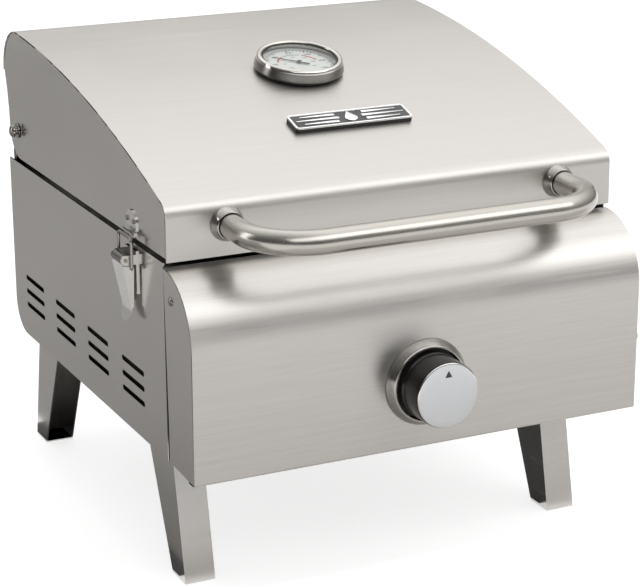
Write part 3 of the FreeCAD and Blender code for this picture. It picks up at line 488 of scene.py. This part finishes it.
# The wall is the same turned metal painted darker: painted shade and dark reflection.
ring_wall_painted_shade = turned_finish("thermometer_wall_painted_shade", (0.27, 0.26, 0.245), 0.24, DIAL)
knob_ring_steel = turned_finish("bezel_turned", (0.38, 0.365, 0.345), 0.22, KNOB_RING, contrast=0.28)
knob_chrome = turned_finish("knob_chrome", (0.05, 0.048, 0.046), 0.20, KNOB, contrast=0.2)
knob_rim = turned_finish("knob_rim", (0.62, 0.61, 0.60), 0.15, KNOB, contrast=0.05)
knob_face_finish = turned_finish("knob_face", (0.60, 0.61, 0.625), 0.30, KNOB, contrast=0.02, bump=0.01,
                                 pull=0.0)
chrome = speckled("collar_chrome", (0.38, 0.365, 0.345), (0.42, 0.405, 0.385), 0.10, size=0.003,
                  metallic=1.0, bump=0.02)
# Black plastic for the backing, case and seal; the same black is painted shade in the gaps inside the knob
# ring and the handle cups.
black = speckled("black_plastic_and_gap_shade", (0.012, 0.012, 0.012), (0.022, 0.021, 0.02), 0.45, size=0.003)
badge_black = speckled("badge_field", (0.045, 0.045, 0.047), (0.085, 0.085, 0.088), 0.40, size=0.0012,
                       metallic=0.3)
badge_silver = speckled("badge_silver", (0.86, 0.86, 0.86), (0.95, 0.95, 0.94), 0.22, metallic=0.85,
                        bump=0.02)
dial_paint = speckled("dial_paint", (0.71, 0.71, 0.70), (0.76, 0.76, 0.75), 0.5, size=0.02, bump=0.02)
ink_black = speckled("dial_black", (0.02, 0.02, 0.02), (0.04, 0.04, 0.04), 0.5, size=0.002, bump=0.0)
ink_red = speckled("dial_red", (0.50, 0.08, 0.09), (0.58, 0.12, 0.12), 0.5, size=0.002, bump=0.0)
glass = window_glass("dial_glass")
iron = speckled("grate_iron", (0.018, 0.018, 0.018), (0.040, 0.039, 0.037), 0.50, size=0.006,
                metallic=0.3, bump=0.5)
firebox_steel = speckled("firebox_steel", (0.16, 0.15, 0.14), (0.30, 0.285, 0.265), 0.46, size=0.03,
                         metallic=0.9)
burner_steel = speckled("burner_steel", (0.30, 0.26, 0.21), (0.46, 0.43, 0.39), 0.35, size=0.02,
                        metallic=1.0)
brass = speckled("valve_brass", (0.62, 0.44, 0.18), (0.72, 0.53, 0.25), 0.30, size=0.004, metallic=1.0)
pipe_metal = speckled("pipe_metal", (0.55, 0.55, 0.55), (0.63, 0.63, 0.62), 0.30, size=0.006, metallic=1.0)
ceramic = speckled("ceramic", (0.78, 0.76, 0.71), (0.84, 0.82, 0.78), 0.25, size=0.004)

FINISH = {
    "lid_cover": lid_steel, "lid_side_left": side_steel, "lid_side_right": side_steel,
    "side_panel_left": side_steel, "side_panel_right": side_steel,
    "control_panel_end_left": side_steel, "control_panel_end_right": side_steel,
    "control_panel": panel_steel, "body_back_and_floor": inner_steel, "body_front_wall": inner_steel,
    "leg_front_left": leg_steel, "leg_front_right": leg_steel,
    "leg_rear_left": leg_steel, "leg_rear_right": leg_steel,
    "leg_brackets": inner_steel, "leg_pins": screw_steel,
    "hinge_bracket_left": inner_steel, "hinge_bracket_right": inner_steel, "hinge_screws": bolt_steel,
    "panel_screws": screw_steel, "handle_screws": screw_steel, "catch_rivets": screw_steel,
    "handle_tube": bar_steel, "latch_pins": wire_steel,
    "latch_bail_left": wire_steel, "latch_bail_right": wire_steel,
    "latch_base_left": latch_steel, "latch_base_right": latch_steel,
    "latch_catch_left": latch_steel, "latch_catch_right": latch_steel,
    "latch_lever_left": lever_steel, "latch_lever_right": lever_steel,
    "badge_backing": black, "thermometer_case": black, "thermometer_dial": dial_paint,
    "thermometer_glass": glass, "thermometer_stem": pipe_metal, "thermometer_nut": brass,
    "cooking_grate": iron, "firebox": firebox_steel, "heat_plate": burner_steel,
    "burner_tube": burner_steel, "burner_bracket": firebox_steel, "igniter_electrode": ceramic,
    "valve_body": brass, "valve_rotor": brass, "valve_stem": brass, "gas_jet": brass,
    "gas_pipe": pipe_metal, "gas_inlet": brass,
    "grease_tray": inner_steel, "tray_rails": inner_steel,
}
for name, material in FINISH.items():
    nodes[name].data.materials.clear()
    nodes[name].data.materials.append(material)


# ---------------------------------------------------------------- thermometer

PRINT_HEIGHT = 5.84       # height of the dial's print over the foot of the case, in millimetres
PRINT_DEPTH = 0.08
DIAL_START = -130         # the scale's first tick, in degrees clockwise from straight back
TICK_STEP = 6.5
NUMBER_STEP = 43.33
NEEDLE_REST = 50.0        # the needle's turn at rest, in degrees


def make_thermometer_ring():
    """Polished rounded lip over a sloping wall painted darker, as painted shade and dark reflection."""
    bm = bmesh.new()
    turn_profile(bm, [(34.6, 2.4), (36.7, 2.4), (37.3, 2.8), (37.4, 3.4), (37.35, 3.9), (35.9, 9.4),
                      (35.7, 10.3), (35.4, 11.3), (34.8, 12.1), (33.8, 12.5), (32.8, 12.5), (32.0, 12.2),
                      (31.5, 11.7), (31.3, 11.0), (31.3, 10.6), (34.6, 10.6)], 128)
    # Painted shade: the sloping wall takes the darker copy of the metal.
    give_second_finish(bm, lambda radius, height: 1.0 < height < 9.8 and radius > 35)
    add_piece("thermometer_ring", bm, "lid", [ring_steel, ring_wall_painted_shade], ["thermometer_bezel"],
              DIAL, TURNED_EDGE)


def make_thermometer_seal():
    """Black lip inside the ring, on the glass."""
    bm = bmesh.new()
    turn_profile(bm, [(30.3, 10.5), (31.25, 10.5), (31.25, 11.3), (30.9, 11.5), (30.4, 11.1)])
    add_piece("thermometer_seal", bm, "lid", [black], place=DIAL)


def around_dial(angle, radius):
    """Placement on the dial; the angle is in degrees, clockwise from straight back."""
    turn = Matrix.Rotation(math.radians(-angle), 4, "Z")
    return DIAL @ turn @ Matrix.Translation((0, radius * MM, PRINT_HEIGHT * MM))


def make_dial_ticks():
    """Every fifth tick is long and wide."""
    bm = bmesh.new()
    for number in range(41):
        width, length = (1.0, 3.6) if number % 5 == 0 else (0.5, 2.2)
        place = around_dial(DIAL_START + number * TICK_STEP, 28.2 - length / 2)
        add_block(bm, (width, length, PRINT_DEPTH), place)
    add_piece("dial_ticks", bm, "lid", [ink_black])


def add_arc(bm, start, stop, radius, width):
    """A flat printed arc; angles in degrees, clockwise from straight back."""
    first = bmesh.ops.create_grid(bm, x_segments=1, y_segments=1, size=0.5)["verts"]
    bmesh.ops.transform(bm, matrix=Matrix.Translation((0, radius * MM, PRINT_HEIGHT * MM))
                        @ Matrix.Rotation(math.radians(90), 4, "Y")
                        @ Matrix.Diagonal((PRINT_DEPTH * MM, width * MM, 1, 1)), verts=first)
    bmesh.ops.rotate(bm, verts=first, cent=(0, 0, 0), matrix=Matrix.Rotation(math.radians(-start), 3, "Z"))
    face = first[0].link_faces[0]
    steps = max(4, int(abs(stop - start) / 4))
    bmesh.ops.spin(bm, geom=[face, *face.edges, *face.verts], cent=(0, 0, 0), axis=(0, 0, 1),
                   angle=math.radians(start - stop), steps=steps)
    bmesh.ops.recalc_face_normals(bm, faces=bm.faces)


def make_dial_arcs():
    """Thin arc round the ticks, short inner arc, and the red bands at both its ends."""
    bm = bmesh.new()
    add_arc(bm, -130, 130, 28.6, 0.35)
    add_arc(bm, -24, 24, 17.5, 0.9)
    add_piece("dial_arcs", bm, "lid", [ink_black], place=DIAL)
    bm = bmesh.new()
    add_arc(bm, -72, -30, 17.5, 1.9)
    add_arc(bm, 30, 78, 17.5, 1.9)
    add_piece("dial_bands", bm, "lid", [ink_red], place=DIAL)


def add_number(bm, number, size, place):
    """A printed number as flat solid figures; the size in millimetres."""
    curve = bpy.data.curves.new("number", "FONT")
    curve.body = str(number)
    curve.size = size * MM
    curve.align_x = "CENTER"
    curve.align_y = "CENTER"
    curve.extrude = 0.03 * MM
    curve.resolution_u = 3
    holder = bpy.data.objects.new("number", curve)
    bpy.context.scene.collection.objects.link(holder)
    shape = bpy.data.meshes.new_from_object(holder)
    bpy.data.objects.remove(holder)
    shape.transform(place)
    bm.from_mesh(shape)
    bpy.data.meshes.remove(shape)


def make_dial_numbers():
    """An outer scale in one unit and a small inner scale in the other, all upright."""
    bm = bmesh.new()
    for step in range(7):
        angle = math.radians(DIAL_START + step * NUMBER_STEP)
        for number, size, radius in ((100 + 100 * step, 4.2, 21.8), (50 + 50 * step, 2.6, 13.0)):
            spot = (math.sin(angle) * radius * MM, math.cos(angle) * radius * MM, PRINT_HEIGHT * MM)
            add_number(bm, number, size, DIAL @ Matrix.Translation(spot))
    add_piece("dial_numbers", bm, "lid", [ink_black])


def make_dial_needle():
    """A tapered pointer on a round hub."""
    bm = bmesh.new()
    pointer = add_block(bm, (2.2, 32, 0.5), Matrix.Translation((0, 7 * MM, 6.9 * MM)))
    for vert in pointer:
        vert.co.x *= 0.25 if vert.co.y > 0 else 1.0
    bmesh.ops.create_cone(bm, segments=32, radius1=2.1 * MM, radius2=1.7 * MM, depth=1.6 * MM, cap_ends=True,
                          matrix=Matrix.Translation((0, 0, 7.3 * MM)))
    soften(bm, 0.12)
    add_piece("dial_needle", bm, "needle", [ink_black], ["thermometer_needle"],
              DIAL @ Matrix.Rotation(math.radians(NEEDLE_REST), 4, "Z"))


# ---------------------------------------------------------------- badge

BADGE_BARS = ((12, 42), (10, 47), (12, 42))     # inner and outer end of each row's bars, in millimetres
BAR_PITCH = 5.4


def make_badge_frame():
    """A bright frame round a sunk dark field."""
    bm = bmesh.new()
    add_plate(bm, 102, 22, 3, 3.2, 4.6)
    bmesh.ops.inset_region(bm, faces=[top_face(bm)], thickness=1.5 * MM, depth=0, use_even_offset=True)
    bmesh.ops.inset_region(bm, faces=[top_face(bm)], thickness=0.25 * MM, depth=-0.6 * MM,
                           use_even_offset=True)
    sunk = [f for f in bm.faces if f.calc_center_median().z < 4.3 * MM and f.normal.z > 0.9]
    max(sunk, key=lambda f: f.calc_area()).material_index = 1
    soften(bm, 0.18)
    add_piece("badge_frame", bm, "lid", [badge_silver, badge_black], ["badge_face"], BADGE)


def add_badge_bar(bm, sign, inner, outer, middle):
    """A bar whose outer end is drawn to a point; middle is its Y in metres."""
    bar = add_block(bm, (outer - inner, 3.3, 0.7),
                    Matrix.Translation((sign * (inner + outer) / 2 * MM, middle, 4.25 * MM)))
    for vert in bar:
        if abs(vert.co.x) > (outer - 1) * MM:
            vert.co.y = middle + (vert.co.y - middle) * 0.25


def add_flame(bm):
    """A drop with its top drawn out."""
    radius = 5.4 * MM
    foot = -1.6 * MM
    made = bmesh.ops.create_circle(bm, segments=28, radius=radius, cap_ends=True,
                                   matrix=Matrix.Translation((0, foot, 3.95 * MM)))
    for vert in made["verts"]:
        rise = max(0.0, vert.co.y - foot)
        vert.co.x *= 1 - 0.75 * min(1.0, rise / radius)
        vert.co.y += rise * 0.75
    raise_faces(bm, list(made["verts"][0].link_faces), 0.65)


def make_badge_ornament():
    """Three bars on each side of a flame."""
    bm = bmesh.new()
    for sign in (-1, 1):
        for row, (inner, outer) in enumerate(BADGE_BARS):
            add_badge_bar(bm, sign, inner, outer, (row - 1) * BAR_PITCH * MM)
    add_flame(bm)
    soften(bm, 0.15)
    add_piece("badge_ornament", bm, "lid", [badge_silver], place=BADGE)


# ---------------------------------------------------------------- knob

def make_knob_shell():
    """Chromed skirt with a waist over its flange."""
    bm = bmesh.new()
    turn_profile(bm, [(4.1, 0.4), (7.8, 0.4), (7.8, 21.3), (24.0, 21.3), (24.2, 0.5), (24.8, 0.05),
                      (26.3, 0.05), (26.7, 0.5), (26.7, 2.4), (26.5, 2.8), (26.1, 3.0), (25.9, 3.4),
                      (26.0, 3.8), (26.4, 4.1), (26.5, 4.6), (26.2, 23.4), (26.1, 24.3), (25.8, 25.0),
                      (25.3, 25.3), (24.9, 25.2), (24.8, 24.5), (4.1, 24.5)], 128)
    add_piece("knob_shell", bm, "knob", [knob_chrome], ["knob"], KNOB, TURNED_EDGE)


def make_knob_plate():
    """Slightly domed satin face with a bright rim."""
    bm = bmesh.new()
    turn_profile(bm, [(0, 24.55), (25.7, 24.55), (25.7, 25.4), (25.4, 25.75), (24.6, 25.9), (20, 25.95),
                      (12, 26.1), (0, 26.2)], 128)
    give_second_finish(bm, lambda radius, height: radius > 24.8)
    add_piece("knob_plate", bm, "knob", [knob_face_finish, knob_rim], ["knob_cap"], KNOB,
              TURNED_EDGE)


def make_knob_pointer():
    """A small printed triangle near the face's top."""
    bm = bmesh.new()
    corners = bmesh.ops.create_circle(bm, segments=3, radius=3.5 * MM, cap_ends=True)["verts"]
    turn = math.pi / 2 - math.atan2(corners[0].co.y, corners[0].co.x)
    bmesh.ops.rotate(bm, verts=corners, cent=(0, 0, 0), matrix=Matrix.Rotation(turn, 3, "Z"))
    raise_faces(bm, list(corners[0].link_faces), 0.2)
    add_piece("knob_pointer", bm, "knob", [ink_black],
              place=KNOB @ Matrix.Translation((0, 16.4 * MM, 25.9 * MM)))


def make_knob_ring():
    """A turned ring on the panel, with a black floor inside it: painted shade of the gap round the knob."""
    bm = bmesh.new()
    turn_profile(bm, [(28.5, 0.05), (34.4, 0.05), (34.5, 0.4), (34.5, 1.0), (34.2, 1.7), (31.2, 7.0),
                      (30.7, 7.7), (29.9, 8.1), (29.1, 8.1), (28.6, 7.7), (28.5, 7.0)], 128)
    turn_profile(bm, [(16.3, 0.1), (28.3, 0.1), (28.3, 0.7), (16.3, 0.7)], 128)
    # Painted shade: the faces inside the ring get the black.
    give_second_finish(bm, lambda radius, height: radius < 28.56)
    add_piece("knob_ring", bm, "body", [knob_ring_steel, black], ["knob_bezel"], KNOB_RING,
              TURNED_EDGE)


# ---------------------------------------------------------------- handle cups and hinge bolts

def make_handle_cups():
    """Turned cups where the handle meets the lid, black inside their lips as painted shade of the gap round
    the tube.
    """
    bm = bmesh.new()
    for sign in (-1, 1):
        cup = bmesh.new()
        turn_profile(cup, [(9.56, 0.05), (13.2, 0.05), (13.4, 0.3), (13.3, 0.9), (11.2, 7.0), (10.9, 7.6),
                           (10.5, 7.9), (10.1, 7.9), (10.0, 7.5), (10.0, 5.5), (9.56, 5.5)], 64)
        # Painted shade: the inside of each lip gets the black.
        give_second_finish(cup, lambda radius, height: radius < 10.05 and height > 3)
        join_part(bm, cup, facing_front(sign * HANDLE_X, FRONT, HANDLE_Z))
    add_piece("handle_cups", bm, "lid", [chrome, black], ["handle_collars"],
              sharp=TURNED_EDGE)


def make_hinge_bolts():
    """A nut inside each side, a washer and a domed head outside it; heights are X in millimetres."""
    low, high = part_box("hinge_screws")
    hinge = Matrix.Translation((0, (low.y + high.y) / 2, (low.z + high.z) / 2))
    bm = bmesh.new()
    for sign in (-1, 1):
        bolt = bmesh.new()
        turn_profile(bolt, [(0, 180.3), (3.0, 180.3), (3.0, 182.3), (5.3, 182.3), (5.5, 182.6),
                            (5.5, 187.0), (5.3, 187.3), (3.0, 187.3), (3.0, 190.35), (6.4, 190.35),
                            (6.6, 190.6), (6.5, 191.2), (3.4, 191.4), (3.3, 193.4), (5.2, 193.5),
                            (5.7, 193.9), (5.7, 194.6), (5.2, 195.9), (4.0, 196.9), (2.2, 197.5),
                            (0, 197.7)], 48)
        join_part(bm, bolt, hinge @ Matrix.Rotation(sign * math.pi / 2, 4, "Y"))
    add_piece("hinge_bolts", bm, "body", [bolt_steel], ["hinge_screws"],
              sharp=TURNED_EDGE)


make_thermometer_ring()
make_thermometer_seal()
make_dial_ticks()
make_dial_arcs()
make_dial_numbers()
make_dial_needle()
make_badge_frame()
make_badge_ornament()
make_knob_shell()
make_knob_plate()
make_knob_pointer()
make_knob_ring()
make_handle_cups()
make_hinge_bolts()
